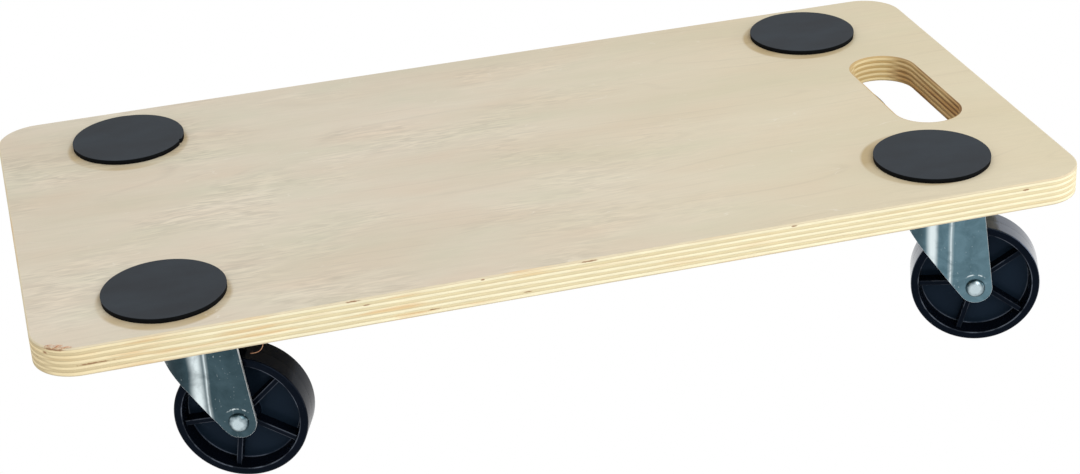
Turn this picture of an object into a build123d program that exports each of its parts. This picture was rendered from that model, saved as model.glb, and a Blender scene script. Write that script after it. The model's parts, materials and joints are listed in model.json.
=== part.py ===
"""Plywood moving dolly: a board with a hand slot, four rubber pads and four swivel castors.

Millimetres.  +X runs along the board towards its hand slot, +Z is up, and the origin lies on the
floor under the middle of the board.  "front" is the -Y long side and "left" is the -X end.
"""
import os
from math import atan2, cos, floor, pi, radians, sin, tan

from build123d import *

os.makedirs("parts", exist_ok=True)

# ---------------------------------------------------------------- board
board_length = 600.0
board_width = 300.0
board_thickness = 17.0
board_corner_radius = 25.0
board_edge_ease = 0.8
slot_length = 106.0
slot_width = 40.0
slot_inset = 50.5  # middle of the hand slot to the right-hand end
slot_edge_radius = 1.5

# ---------------------------------------------------------------- rubber pads
pad_diameter = 68.4
pad_thickness = 3.0
pad_edge_ease = 0.5
pad_end_inset = 76.0  # nominal, from the end of the board to the pad's centre
pad_side_inset = 47.0
pad_drift = {  # how far each pad was glued from its nominal place
    "front_left": (-2.0, -2.5),
    "front_right": (-1.0, 3.0),
    "rear_left": (2.0, -1.0),
    "rear_right": (-1.5, 2.5),
}

# ---------------------------------------------------------------- wheel
wheel_diameter = 75.0
wheel_width = 22.6
wheel_edge_radius = 1.2
rim_thickness = 4.6  # at the face of the wheel
recess_draft = 8.0  # degrees, the moulding draft inside the rim
web_thickness = 3.0
hub_diameter = 19.0
hub_length = 27.0
rib_count = 5
rib_width = 3.0
rib_setback = 2.3  # how far the ribs stay below the face of the rim
rib_overlap = 1.0  # how far each rib runs into the hub and into the rim
wheel_bore_clearance = 0.08  # radial, wheel on its sleeve
hub_side_clearance = 0.5

# ---------------------------------------------------------------- axle
axle_diameter = 6.0
axle_head_diameter = 10.6
axle_head_height = 3.0
sleeve_wall = 1.0

# ---------------------------------------------------------------- fork
fork_sheet = 2.3
castor_trail = 24.0
leg_end_radius = 9.8
leg_trailing_lean = 7.0  # degrees, trailing edge from upright
leg_leading_slope = 52.0  # degrees, leading edge from level
leg_bend_reach = 15.0  # axle to the bend line of the leg
leg_bend_angle = 6.0  # degrees that the leg turns in past its bend line
leg_bend_radius = 6.0
nose_reach = 28.5  # axle to the start of the rounded nose
crown_edge_radius = 2.2
crown_tail = 14.0  # kingpin to the trailing edge of the crown between the legs

# ---------------------------------------------------------------- swivel head
kingpin_diameter = 8.0
kingpin_clearance = 0.3
kingpin_head_diameter = 11.6
kingpin_head_height = 1.2
kingpin_head_sink = 0.3
kingpin_foot_diameter = 13.0
kingpin_foot_height = 2.0
kingpin_foot_edge_radius = 1.2
kingpin_foot_gap = 6.75  # between the wheel's top and the riveted foot
dish_wall = 1.2
dish_side_clearance = 0.3
ball_diameter = 3.175
ball_clearance = 0.25
ball_pitch_diameter = 20.0
ball_spacing = 1.12  # centre distance of two balls over their diameter
groove_depth = 0.9
lower_race_thickness = 2.5
lower_race_clearance = 0.6  # radial, inside the fork's nose

# ---------------------------------------------------------------- mounting plate and screws
plate_length = 60.0
plate_width = 60.0
plate_thickness = 2.5
plate_corner_radius = 5.0
plate_hole_pitch = 46.0
plate_hole_diameter = 5.2
screw_diameter = 4.0
screw_clearance = 0.05
screw_head_diameter = 8.6
screw_head_height = 1.4
screw_grip = 12.0  # length of the screw inside the board
screw_tip_length = 3.0
screw_recess_length = 4.4
screw_recess_width = 0.9
screw_recess_depth = 0.8

# ---------------------------------------------------------------- castor places
castor_side_inset = 45.0
castor_end_inset = {"left": 86.0, "right": 76.0}
castor_yaw = {"front_left": -20.6, "front_right": -22.8, "rear_left": -14.0, "rear_right": -31.0}
wheel_turn = {"front_left": 26.5, "front_right": -38.5, "rear_left": 30.0, "rear_right": 5.0}

# ---------------------------------------------------------------- worked-out heights
face_gap = ball_diameter + 2 * ball_clearance - 2 * groove_depth
axle_height = wheel_diameter / 2
kingpin_foot_z = wheel_diameter + kingpin_foot_gap
lower_race_z = kingpin_foot_z + kingpin_foot_height
crown_under_z = lower_race_z + lower_race_thickness + face_gap
crown_top_z = crown_under_z + fork_sheet
plate_under_z = crown_top_z + face_gap
board_under_z = plate_under_z + plate_thickness
board_top_z = board_under_z + board_thickness
groove_radius = ball_diameter / 2 + ball_clearance
upper_ball_z = crown_top_z + face_gap / 2
lower_ball_z = crown_under_z - face_gap / 2
ball_count = floor(pi * ball_pitch_diameter / (ball_diameter * ball_spacing))
dish_depth = kingpin_head_height + kingpin_head_sink
fork_gap = hub_length + 2 * hub_side_clearance
fork_half_width = fork_gap / 2 + fork_sheet

# Seen from above, the fork's skin runs straight along each leg, turns in slightly at the bend
# line, and closes in a round nose ahead of the kingpin.
bend_x = castor_trail - leg_bend_reach
nose_x = castor_trail - nose_reach
turn_in = radians(leg_bend_angle)
nose_half_width = fork_half_width - (bend_x - nose_x) * tan(turn_in)
nose_radius = nose_half_width / cos(turn_in)
nose_centre_x = nose_x + nose_radius * sin(turn_in)
leg_tip_x = castor_trail + leg_end_radius
skin_depth = crown_top_z - axle_height + leg_end_radius

# Seen from the side, the leg is a round end below the axle with one tangent line on each side.
lean = radians(leg_trailing_lean)
slope = radians(leg_leading_slope)
leg_height = crown_top_z - axle_height
trailing_foot = (leg_end_radius * cos(lean), leg_end_radius * sin(lean))
trailing_top = (
    trailing_foot[0] - (leg_height - trailing_foot[1]) * tan(lean),
    leg_height,
)
leading_foot = (-leg_end_radius * sin(slope), -leg_end_radius * cos(slope))
nose_tip = nose_centre_x - nose_radius - castor_trail
leading_top = (nose_tip, leading_foot[1] + (leading_foot[0] - nose_tip) * tan(slope))

axle_plane = Plane(origin=(castor_trail, 0, axle_height), x_dir=(1, 0, 0), z_dir=(0, -1, 0))


def save(part, label):
    """Label a finished piece and write it to its own STEP file."""
    part.label = label
    export_step(part, f"parts/{label}.step")


# ================================================================ board
slot_x = board_length / 2 - slot_inset

with BuildPart() as board:
    with BuildSketch(Plane.XY.offset(board_under_z)):
        RectangleRounded(board_length, board_width, board_corner_radius)
    extrude(amount=board_thickness)
    rim_faces = board.faces().filter_by(Axis.Z)
    chamfer(rim_faces.edges(), board_edge_ease)
    with BuildSketch(Plane.XY.offset(board_under_z)):
        with Locations((slot_x, 0)):
            SlotOverall(slot_length, slot_width, rotation=90)
    extrude(amount=board_thickness, mode=Mode.SUBTRACT)
    slot_edges = board.edges(Select.LAST).filter_by(Plane.XY)
    fillet(slot_edges, slot_edge_radius)
    for end, direction in (("left", -1), ("right", 1)):
        castor_x = direction * (board_length / 2 - castor_end_inset[end])
        for castor_y in (castor_side_inset - board_width / 2, board_width / 2 - castor_side_inset):
            with BuildSketch(Plane.XY.offset(board_under_z)):
                with Locations((castor_x, castor_y)):
                    with GridLocations(plate_hole_pitch, plate_hole_pitch, 2, 2):
                        Circle(screw_diameter / 2 + screw_clearance)
            extrude(amount=screw_grip + screw_clearance, mode=Mode.SUBTRACT)
save(board.part, "board")

# ================================================================ rubber pads
with BuildPart() as pad:
    with BuildSketch(Plane.XY.offset(board_top_z)):
        Circle(pad_diameter / 2)
    extrude(amount=pad_thickness)
    chamfer(pad.edges().group_by(Axis.Z)[-1], pad_edge_ease)

for corner, (drift_x, drift_y) in pad_drift.items():
    side, end = corner.split("_")
    side_sign = -1 if side == "front" else 1
    end_sign = -1 if end == "left" else 1
    pad_x = end_sign * (board_length / 2 - pad_end_inset) + drift_x
    pad_y = side_sign * (board_width / 2 - pad_side_inset) + drift_y
    save(pad.part.moved(Location((pad_x, pad_y, 0))), f"{corner}_pad")

# ================================================================ mounting plate
with BuildPart() as top_plate:
    with BuildSketch(Plane.XY.offset(plate_under_z)):
        RectangleRounded(plate_length, plate_width, plate_corner_radius)
    extrude(amount=plate_thickness)
    with BuildSketch(Plane.XY.offset(plate_under_z)):
        Circle(kingpin_head_diameter / 2 + dish_side_clearance + dish_wall)
    extrude(amount=-dish_depth)
    with BuildSketch(Plane.XY.offset(board_under_z)):
        Circle(kingpin_head_diameter / 2 + dish_side_clearance)
    extrude(amount=-dish_depth, mode=Mode.SUBTRACT)
    with BuildSketch(Plane.XY.offset(board_under_z)):
        Circle(kingpin_diameter / 2)
        with GridLocations(plate_hole_pitch, plate_hole_pitch, 2, 2):
            Circle(plate_hole_diameter / 2)
    extrude(amount=-(plate_thickness + dish_depth), mode=Mode.SUBTRACT)
    with Locations((0, 0, upper_ball_z)):
        Torus(ball_pitch_diameter / 2, groove_radius, mode=Mode.SUBTRACT)

# ================================================================ bearing balls
with BuildPart() as upper_balls:
    with Locations((0, 0, upper_ball_z)):
        with PolarLocations(ball_pitch_diameter / 2, ball_count):
            Sphere(ball_diameter / 2)

with BuildPart() as lower_balls:
    with Locations((0, 0, lower_ball_z)):
        with PolarLocations(ball_pitch_diameter / 2, ball_count):
            Sphere(ball_diameter / 2)

# ================================================================ lower race
lower_race_radius = nose_radius - fork_sheet - lower_race_clearance

with BuildPart() as lower_race:
    with BuildSketch(Plane.XY.offset(lower_race_z)):
        Circle(lower_race_radius)
        Circle(kingpin_diameter / 2, mode=Mode.SUBTRACT)
    extrude(amount=lower_race_thickness)
    with Locations((0, 0, lower_ball_z)):
        Torus(ball_pitch_diameter / 2, groove_radius, mode=Mode.SUBTRACT)

# ================================================================ kingpin
with BuildPart() as kingpin:
    with BuildSketch(Plane.XY.offset(lower_race_z)):
        Circle(kingpin_diameter / 2)
    extrude(amount=board_under_z - dish_depth - lower_race_z)
    with BuildSketch(Plane.XY.offset(board_under_z - dish_depth)):
        Circle(kingpin_head_diameter / 2)
    extrude(amount=kingpin_head_height)
    with BuildSketch(Plane.XY.offset(kingpin_foot_z)):
        Circle(kingpin_foot_diameter / 2)
    extrude(amount=kingpin_foot_height)
    foot_rim = kingpin.edges().group_by(Axis.Z)[0]
    fillet(foot_rim, kingpin_foot_edge_radius)

# ================================================================ fork
with BuildPart() as fork:
    with BuildSketch(Plane.XY.offset(crown_top_z)):
        with BuildLine():
            tail = Line((leg_tip_x, -fork_half_width), (leg_tip_x, fork_half_width))
            right_leg = Line(tail @ 1, (bend_x, fork_half_width))
            right_turn = Line(right_leg @ 1, (nose_x, nose_half_width))
            nose = ThreePointArc(
                right_turn @ 1, (nose_centre_x - nose_radius, 0), (nose_x, -nose_half_width)
            )
            left_turn = Line(nose @ 1, (bend_x, -fork_half_width))
            Line(left_turn @ 1, tail @ 0)
        make_face()
    extrude(amount=-skin_depth)
    bend_edges = fork.edges().filter_by(Axis.Z).group_by(Axis.X)[-2]
    fillet(bend_edges, leg_bend_radius)
    crown_edges = fork.edges().group_by(Axis.Z)[-1].sort_by(Axis.X)[:-1]
    fillet(crown_edges, crown_edge_radius)
    offset_openings = fork.faces().sort_by(Axis.Z)[0], fork.faces().sort_by(Axis.X)[-1]
    offset(amount=-fork_sheet, openings=offset_openings)
    with BuildSketch(axle_plane) as leg_outline:
        with BuildLine():
            rear = Line(trailing_foot, trailing_top)
            top = Line(rear @ 1, (nose_tip, leg_height))
            front = Line(top @ 1, leading_top)
            diagonal = Line(front @ 1, leading_foot)
            ThreePointArc(
                diagonal @ 1,
                (leg_end_radius * sin((lean - slope) / 2), -leg_end_radius * cos((lean - slope) / 2)),
                rear @ 0,
            )
        make_face()
    extrude(amount=fork_half_width, both=True, mode=Mode.INTERSECT)
    with BuildSketch(Plane.XY.offset(crown_top_z)):
        with Locations((crown_tail, 0)):
            Rectangle(leg_tip_x, fork_gap, align=(Align.MIN, Align.CENTER))
    extrude(amount=-(fork_sheet + face_gap), mode=Mode.SUBTRACT)
    with BuildSketch(axle_plane):
        Circle(axle_diameter / 2)
    extrude(amount=fork_half_width, both=True, mode=Mode.SUBTRACT)
    with BuildSketch(Plane.XY.offset(crown_top_z)):
        Circle(kingpin_diameter / 2 + kingpin_clearance)
    extrude(amount=-fork_sheet, mode=Mode.SUBTRACT)
    with Locations((0, 0, upper_ball_z), (0, 0, lower_ball_z)):
        Torus(ball_pitch_diameter / 2, groove_radius, mode=Mode.SUBTRACT)

# ================================================================ axle and its sleeve
# The axle is a rivet: a plain shank with a low dome outside each leg.
axle_profile_plane = Plane(origin=axle_plane.origin, x_dir=(0, 1, 0), z_dir=(0, 0, 1))
head_radius = axle_head_diameter / 2
dome_radius = (head_radius**2 + axle_head_height**2) / (2 * axle_head_height)
dome_angle = atan2(head_radius, dome_radius - axle_head_height)
dome_centre = fork_half_width + axle_head_height - dome_radius
dome_mid = (dome_centre + dome_radius * cos(dome_angle / 2), dome_radius * sin(dome_angle / 2))

with BuildPart() as axle:
    with BuildSketch(axle_profile_plane):
        with BuildLine():
            near_dome = ThreePointArc(
                (-fork_half_width - axle_head_height, 0),
                (-dome_mid[0], dome_mid[1]),
                (-fork_half_width, head_radius),
            )
            shank = Polyline(
                near_dome @ 1,
                (-fork_half_width, axle_diameter / 2),
                (fork_half_width, axle_diameter / 2),
                (fork_half_width, head_radius),
            )
            far_dome = ThreePointArc(shank @ 1, dome_mid, (fork_half_width + axle_head_height, 0))
            Line(far_dome @ 1, near_dome @ 0)
        make_face()
    revolve(axis=Axis(axle_plane.origin, (0, 1, 0)))

with BuildPart() as axle_sleeve:
    with BuildSketch(axle_plane):
        Circle(axle_diameter / 2 + sleeve_wall)
        Circle(axle_diameter / 2, mode=Mode.SUBTRACT)
    extrude(amount=fork_gap / 2, both=True)

# ================================================================ wheel
rim_inner_radius = wheel_diameter / 2 - rim_thickness
recess_depth = (wheel_width - web_thickness) / 2
web_radius = rim_inner_radius - recess_depth * tan(radians(recess_draft))
rib_height = recess_depth - rib_setback
rib_start = hub_diameter / 2 - rib_overlap
rib_length = rim_inner_radius + rib_overlap - rib_start

with BuildPart() as wheel:
    with BuildSketch(axle_plane):
        Circle(wheel_diameter / 2)
    extrude(amount=wheel_width / 2, both=True)
    tread_edges = wheel.edges().filter_by(GeomType.CIRCLE)
    fillet(tread_edges, wheel_edge_radius)
    for face_plane in (axle_plane, axle_plane.rotated((0, 180, 0))):
        with BuildSketch(face_plane.offset(web_thickness / 2)):
            Circle(web_radius)
        extrude(amount=recess_depth, taper=-recess_draft, mode=Mode.SUBTRACT)
    with BuildSketch(axle_plane):
        with PolarLocations(rib_start, rib_count):
            Rectangle(rib_length, rib_width, align=(Align.MIN, Align.CENTER))
    extrude(amount=web_thickness / 2 + rib_height, both=True)
    with BuildSketch(axle_plane):
        Circle(hub_diameter / 2)
    extrude(amount=hub_length / 2, both=True)
    with BuildSketch(axle_plane):
        Circle(axle_diameter / 2 + sleeve_wall + wheel_bore_clearance)
    extrude(amount=hub_length / 2, both=True, mode=Mode.SUBTRACT)

# ================================================================ fixing screws
# One wafer-head screw, then four of them in the corners of the mounting plate.
shank_radius = screw_diameter / 2
shank_length = plate_thickness + screw_grip

with BuildPart() as screw:
    with BuildSketch(Plane.XZ):
        with BuildLine():
            Polyline(
                (0, plate_under_z - screw_head_height),
                (screw_head_diameter / 2 - screw_head_height / 2, plate_under_z - screw_head_height),
                (screw_head_diameter / 2, plate_under_z - screw_head_height / 2),
                (screw_head_diameter / 2, plate_under_z),
                (shank_radius, plate_under_z),
                (shank_radius, plate_under_z + shank_length - screw_tip_length),
                (0, plate_under_z + shank_length),
                close=True,
            )
        make_face()
    revolve(axis=Axis.Z)
    with BuildSketch(Plane.XY.offset(plate_under_z - screw_head_height)):
        Rectangle(screw_recess_length, screw_recess_width)
        Rectangle(screw_recess_width, screw_recess_length)
    extrude(amount=screw_recess_depth, mode=Mode.SUBTRACT)

with BuildPart() as screws:
    with GridLocations(plate_hole_pitch, plate_hole_pitch, 2, 2):
        add(screw.part)

# ================================================================ the four castors
fixed_pieces = {
    "top_plate": top_plate.part,
    "kingpin": kingpin.part,
    "lower_race": lower_race.part,
    "screws": screws.part,
}
swivel_pieces = {
    "upper_balls": upper_balls.part,
    "lower_balls": lower_balls.part,
    "fork": fork.part,
    "axle": axle.part,
    "axle_sleeve": axle_sleeve.part,
}
spin_axis = Axis(axle_plane.origin, (0, 1, 0))

for corner, yaw in castor_yaw.items():
    side, end = corner.split("_")
    side_sign = -1 if side == "front" else 1
    end_sign = -1 if end == "left" else 1
    castor_x = end_sign * (board_length / 2 - castor_end_inset[end])
    castor_y = side_sign * (board_width / 2 - castor_side_inset)
    plate_place = Location((castor_x, castor_y, 0))
    swivel_place = Location((castor_x, castor_y, 0), (0, 0, yaw))
    for name, piece in fixed_pieces.items():
        save(piece.moved(plate_place), f"{corner}_{name}")
    for name, piece in swivel_pieces.items():
        save(piece.moved(swivel_place), f"{corner}_{name}")
    turned_wheel = wheel.part.rotate(spin_axis, wheel_turn[corner])
    save(turned_wheel.moved(swivel_place), f"{corner}_wheel")
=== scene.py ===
import json
from functools import partial
from math import atan2, cos, hypot, pi, radians, sin

import bmesh
import bpy
from mathutils import Matrix, Vector, noise


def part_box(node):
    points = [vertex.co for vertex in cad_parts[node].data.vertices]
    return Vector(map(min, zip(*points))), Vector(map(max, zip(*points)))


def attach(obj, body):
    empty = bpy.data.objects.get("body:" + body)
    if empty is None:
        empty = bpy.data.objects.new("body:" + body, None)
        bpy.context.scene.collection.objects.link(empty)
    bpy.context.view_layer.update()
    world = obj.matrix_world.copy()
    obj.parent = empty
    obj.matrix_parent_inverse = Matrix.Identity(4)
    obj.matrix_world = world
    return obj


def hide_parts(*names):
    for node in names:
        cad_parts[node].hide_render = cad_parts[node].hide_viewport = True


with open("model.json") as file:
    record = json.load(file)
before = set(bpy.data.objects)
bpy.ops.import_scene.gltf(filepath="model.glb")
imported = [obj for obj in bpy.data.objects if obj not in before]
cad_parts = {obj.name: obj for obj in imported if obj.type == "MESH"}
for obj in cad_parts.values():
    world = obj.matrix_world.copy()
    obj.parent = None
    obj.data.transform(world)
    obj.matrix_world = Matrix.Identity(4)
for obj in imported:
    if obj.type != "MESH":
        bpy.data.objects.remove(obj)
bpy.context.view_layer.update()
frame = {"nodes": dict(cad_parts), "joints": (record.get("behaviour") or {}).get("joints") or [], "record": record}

# ------------------------------------------------------------------ deck
# The deck is birch plywood: eleven veneers glued crosswise, sawn to shape, sanded and left bare.
# A router rounds its corners and cuts the hand slot, and easing takes the sharpness off each rim.
mm = 0.001
corners = ("front_left", "front_right", "rear_left", "rear_right")
deck_body = "board_assembly"
deck_low, deck_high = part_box("board")
deck_half_length = (deck_high.x - deck_low.x) / 2
deck_half_width = (deck_high.y - deck_low.y) / 2
deck_thickness = deck_high.z - deck_low.z
deck_corner_radius = 25 * mm
deck_rim_ease = 0.9 * mm
slot_length = 106 * mm
slot_width = 40 * mm
slot_end_radius = slot_width / 2 - 0.01 * mm
slot_rim_ease = 1.5 * mm
face_ply = 0.95 * mm
core_plies = 9
core_ply = (deck_thickness - 2 * face_ply) / core_plies
glue_line_width = 0.16 * mm
glue_line_depth = 0.09 * mm
outline_step = 8 * mm
corner_steps = 14
ease_steps = 5
mounts = {mount["name"]: mount for mount in frame["record"]["mounts"]}
slot_centre = Vector(mounts["hand_slot"]["pos_m"])


def rounded_outline(centre, half_length, half_width, radius):
    """Points of a rounded rectangle, anticlockwise, each with its outward direction."""
    outline = []
    straight_x = half_length - radius
    straight_y = half_width - radius
    for quarter, (side_x, side_y) in enumerate(((1, 1), (-1, 1), (-1, -1), (1, -1))):
        middle = Vector((centre.x + side_x * straight_x, centre.y + side_y * straight_y))
        for step in range(corner_steps + 1):
            angle = (quarter + step / corner_steps) * pi / 2
            outward = Vector((cos(angle), sin(angle)))
            outline.append((middle + outward * radius, outward))
        run = 2 * (straight_x if quarter % 2 == 0 else straight_y)
        along = Vector((-sin(angle), cos(angle)))
        pieces = int(run / outline_step)
        start = middle + outward * radius
        for piece in range(1, pieces):
            outline.append((start + along * run * piece / pieces, outward))
    return outline


def wall_profile(ease):
    """Heights of the sawn edge, each with how far it lies in: an eased rim, then every glue line."""
    rim = [quarter * pi / 2 / ease_steps for quarter in range(ease_steps + 1)]
    profile = [(ease * (1 - sin(a)), deck_low.z + ease * (1 - cos(a))) for a in rim]
    for line in range(core_plies + 1):
        height = deck_low.z + face_ply + line * core_ply
        if min(height - deck_low.z, deck_high.z - height) > ease + glue_line_width:
            profile.append((0.0, height - glue_line_width))
            profile.append((glue_line_depth, height))
            profile.append((0.0, height + glue_line_width))
    profile += [(ease * (1 - sin(a)), deck_high.z - ease * (1 - cos(a))) for a in reversed(rim)]
    return profile


def add_wall(mesh, outline, profile, inward):
    """Sweep the profile round the outline; returns the lowest and the highest ring of edges."""
    rings = []
    for inset, height in profile:
        ring = []
        for point, outward in outline:
            place = point - outward * inset * inward
            ring.append(mesh.verts.new((place.x, place.y, height)))
        rings.append(ring)
    for lower, upper in zip(rings, rings[1:]):
        for i, vertex in enumerate(lower):
            face = mesh.faces.new((lower[i - 1], vertex, upper[i], upper[i - 1]))
            face.smooth = True
            face.material_index = 1
    return [
        [mesh.edges.get((ring[i - 1], ring[i])) for i in range(len(ring))]
        for ring in (rings[0], rings[-1])
    ]


def finished_piece(name, mesh, *materials):
    """Make an object of a bmesh, with its faces turned outwards."""
    bmesh.ops.recalc_face_normals(mesh, faces=mesh.faces)
    data = bpy.data.meshes.new(name)
    mesh.to_mesh(data)
    mesh.free()
    for material in materials:
        data.materials.append(material)
    made = bpy.data.objects.new(name, data)
    bpy.context.scene.collection.objects.link(made)
    return made


def fit_to_frame(piece, body, slot, *nodes):
    """Attach a finished piece to the body it rides on and hide the CAD nodes it stands for; slot is not used."""
    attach(piece, body)
    if nodes:
        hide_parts(*nodes)


def srgb(code):
    """An sRGB hex colour as the linear values that a shader takes."""
    parts = [int(code[i:i + 2], 16) / 255 for i in (0, 2, 4)]
    return tuple(c / 12.92 if c <= 0.04045 else ((c + 0.055) / 1.055) ** 2.4 for c in parts) + (1.0,)


def add_node(tree, kind, inputs=(), **settings):
    """Add a node of a kind, named without its family, such as ShaderNode, and with these settings.
    inputs gives values, nodes or sockets, in the order of the node's sockets or by their names."""
    families = (tree.bl_idname.removesuffix("Tree"), "ShaderNode", "FunctionNode", "Node")
    node = tree.nodes.new(next(family + kind for family in families if hasattr(bpy.types, family + kind)))
    for name, value in settings.items():
        setattr(node, name, value)
    sockets = [socket for socket in node.inputs if socket.enabled]
    if isinstance(inputs, dict):
        sockets = [next(s for s in sockets if s.name == name) for name in inputs]
        inputs = inputs.values()
    for socket, value in zip(sockets, inputs):
        if isinstance(value, bpy.types.Node):
            value = next(s for s in value.outputs if s.enabled)
        if isinstance(value, bpy.types.NodeSocket):
            tree.links.new(value, socket)
        else:
            socket.default_value = value
    return node


def new_finish(name):
    """An empty material, and add_node for its tree."""
    finish = bpy.data.materials.new(name)
    finish.use_nodes = True
    finish.node_tree.nodes.clear()
    return finish, partial(add_node, finish.node_tree)


# Birch face veneer, rotary cut and sanded to 120 grit: a dull, pale, pinkish-grey skin whose grain
# runs the length of the deck in faint streaks, slightly raised, with pale scuffs from handling.
veneer_finish, add = new_finish("birch_face_veneer_sanded")
grain_pitch = 2.6 * mm
fibre_pitch = 0.9 * mm
patch_width = 48 * mm
grain_sway = 26 * mm   # how far a streak of grain wanders to one side and back
growth_lines = 13.0    # lines over the whole swing of the pattern that they follow
place = add("TexCoord").outputs["Object"]
along_deck = add("SeparateXYZ", (place,)).outputs["X"]
drift = add("TexNoise", {
    "Vector": add("Mapping", {"Vector": place, "Scale": (4, 14, 1)}), "Scale": 1.0, "Detail": 2.0,
})
sway = add("Math", (drift, grain_sway, -grain_sway / 2), operation="MULTIPLY_ADD")
bent = add("VectorMath", (place, add("CombineXYZ", {"Y": sway})), operation="ADD")
# How each pattern is laid along the deck, in marks a metre, and how fine its detail is.
veneer = {}
for name, base, layout, detail in (
    ("grain", bent, {"Scale": (19, 1 / grain_pitch, 1)}, {"Detail": 4.0, "Roughness": 0.62}),
    ("fibre", bent, {"Scale": (42, 1 / fibre_pitch, 1)}, {"Detail": 2.0, "Roughness": 0.7}),
    ("patch", bent, {"Location": (3.1, 5.7, 0), "Scale": (6, 1 / patch_width, 1)}, {"Detail": 3.0}),
    ("blush", place, {"Location": (9.4, 1.2, 0), "Scale": (13, 34, 1)}, {"Detail": 2.0}),
    ("tearing", place, {"Location": (2.3, 8.1, 0), "Scale": (11, 17, 1)}, {"Detail": 2.0}),
    ("ripple", bent, {"Scale": (58, 400, 1)}, {"Detail": 1.5, "Distortion": 1.1}),
    ("growth", place, {"Location": (6.6, 0.4, 0), "Scale": (1.9, 13, 1)}, {"Detail": 1.0}),
    ("scuff_run", place, {"Rotation": (0, 0, radians(5)), "Scale": (13, 90, 1)}, {"Detail": 1.0}),
    ("scuff_patch", place, {"Scale": (16, 40, 1)}, {"Detail": 1.0}),
):
    laid = add("Mapping", {"Vector": base, **layout})
    veneer[name] = add("TexNoise", {"Vector": laid, "Scale": 1.0, **detail})
# Paler, rosier and greener patches lie over each other, and the head of the deck is yellower.
colour = srgb("D3C8B2")
for reading, none_at, full_at, most, tone in (
    (veneer["patch"], 0.3, 0.7, 1.0, "DDD3C0"),
    (veneer["blush"], 0.5, 0.78, 0.34, "DCC4AE"),
    (veneer["blush"], 0.48, 0.24, 0.3, "C8CBB2"),
    (along_deck, -0.05, 0.32, 0.6, "DCCFAA"),
):
    share = add("MapRange", (reading, none_at, full_at, 0.0, most))
    colour = add("Mix", (share, colour, srgb(tone)), data_type="RGBA")
# A darker, browner crescent is painted beside each pad, shifted to one side of it.
pad_ring_reach = 36.5 * mm
pad_ring_fade = 0.9 * mm
pad_ring_strength = 0.9
pad_ring_shift = {"front_left": (-0.6, -4.2, 0), "front_right": (-4.2, 2.0, 0),
               "rear_left": (-1.0, -5.4, 0), "rear_right": (-3.4, -3.0, 0)}
for corner in corners:
    low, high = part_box(f"{corner}_pad")
    pad_ring_middle = (low + high) / 2 + Vector(pad_ring_shift[corner]) * mm
    from_middle = add("VectorMath", (place, pad_ring_middle), operation="SUBTRACT")
    in_plan = add("VectorMath", (from_middle, (1.0, 1.0, 0.0)), operation="MULTIPLY")
    pad_ring = add("Math", (
        add("MapRange", (
            add("VectorMath", (in_plan,), operation="LENGTH"),
            pad_ring_reach + pad_ring_fade, pad_ring_reach - pad_ring_fade, 0.0, pad_ring_strength,
        )),
        add("MapRange", (veneer["blush"], 0.3, 0.62, 0.25, 1.0)),
    ), operation="MULTIPLY")
    colour = add("Mix", (pad_ring, colour, srgb("BBA57B")), data_type="RGBA")
# Where the veneer tore up, over the tail and the middle, light and dark streaks are painted into the colour:
# painted light and shade of the raised ripples. It is smooth towards the hand slot.
torn_up = add("Math", (
    add("MapRange", (veneer["tearing"], 0.47, 0.6, 0.1, 1.0)),
    add("MapRange", (along_deck, -0.02, 0.12, 1.0, 0.15)),
), operation="MULTIPLY")
ripple = add("Math", (
    add("MapRange", (veneer["ripple"], 0.34, 0.66, -0.115, 0.095)), torn_up, 1.0,
), operation="MULTIPLY_ADD")
shade = add("MapRange", (veneer["grain"], 0.3, 0.68, 0.98, 1.008))
shade = add("Math", (shade, ripple), operation="MULTIPLY")
# Growth lines: the darker late wood of each year comes up as a thin, broken, arching line.
growth = add("Math", (veneer["growth"], growth_lines), operation="MULTIPLY")
growth_line = add("Math", (
    add("MapRange", (add("Math", (growth, 0.5), operation="PINGPONG"), 0.012, 0.07, 0.055, 0.0)),
    add("MapRange", (veneer["blush"], 0.42, 0.6)),
), operation="MULTIPLY")
shade = add("Math", (shade, growth_line), operation="SUBTRACT")
fibre_shade = add("MapRange", (veneer["fibre"], 0.28, 0.72, 0.982, 1.012))
shade = add("Math", (shade, fibre_shade), operation="MULTIPLY")
colour = add("VectorMath", (colour, shade), operation="SCALE")
# Handling leaves short pale scuffs, a little askew to the grain.
off_scuff = add("Math", (
    add("Math", (veneer["scuff_run"], 0.5), operation="SUBTRACT"),
), operation="ABSOLUTE")
scuff_and_highlight = add("Math", (
    add("MapRange", (off_scuff, 0.001, 0.005, 1.0, 0.0)),
    add("MapRange", (veneer["scuff_patch"], 0.53, 0.62)),
), operation="MULTIPLY")
scuff_and_highlight = add("Math", (scuff_and_highlight, 0.36), operation="MULTIPLY")
colour = add("Mix", (scuff_and_highlight, colour, srgb("EAE3D6")), data_type="RGBA")
raised_grain = add("Math", (veneer["grain"], 0.8), operation="MULTIPLY")
relief = add("Math", (veneer["fibre"], 0.45, raised_grain), operation="MULTIPLY_ADD")
raised = add("Bump", {"Height": relief, "Strength": 0.55, "Distance": 0.35 * mm})
shader = add("BsdfPrincipled", {
    "Base Color": colour, "Roughness": 0.68, "IOR": 1.5, "Specular IOR Level": 0.35, "Normal": raised,
})
add("OutputMaterial", (shader,))

# The sawn edge of the plywood: long-grain plies sand smooth and cream, the cross plies between
# them show darker end grain, and a dark glue line and a few reddish core gaps run along them.
edge_finish, add = new_finish("birch_ply_edge_sanded")
ply_waver = 1.1 * mm   # how far a ply strays up and down
coordinates = add("TexCoord").outputs
place = coordinates["Object"]
across = add("SeparateXYZ", (place,)).outputs
edge = {}
for name, marks, roughness in (
    ("ply_wave", (13, 13, 190), 0.5), ("pores", (90, 90, 900), 0.7), ("heartwood", (22, 22, 330), 0.5),
):
    laid = add("Mapping", {"Vector": place, "Scale": marks})
    edge[name] = add("TexNoise", {
        "Vector": laid, "Scale": 1.0, "Detail": 3.0, "Roughness": roughness,
    })
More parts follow.
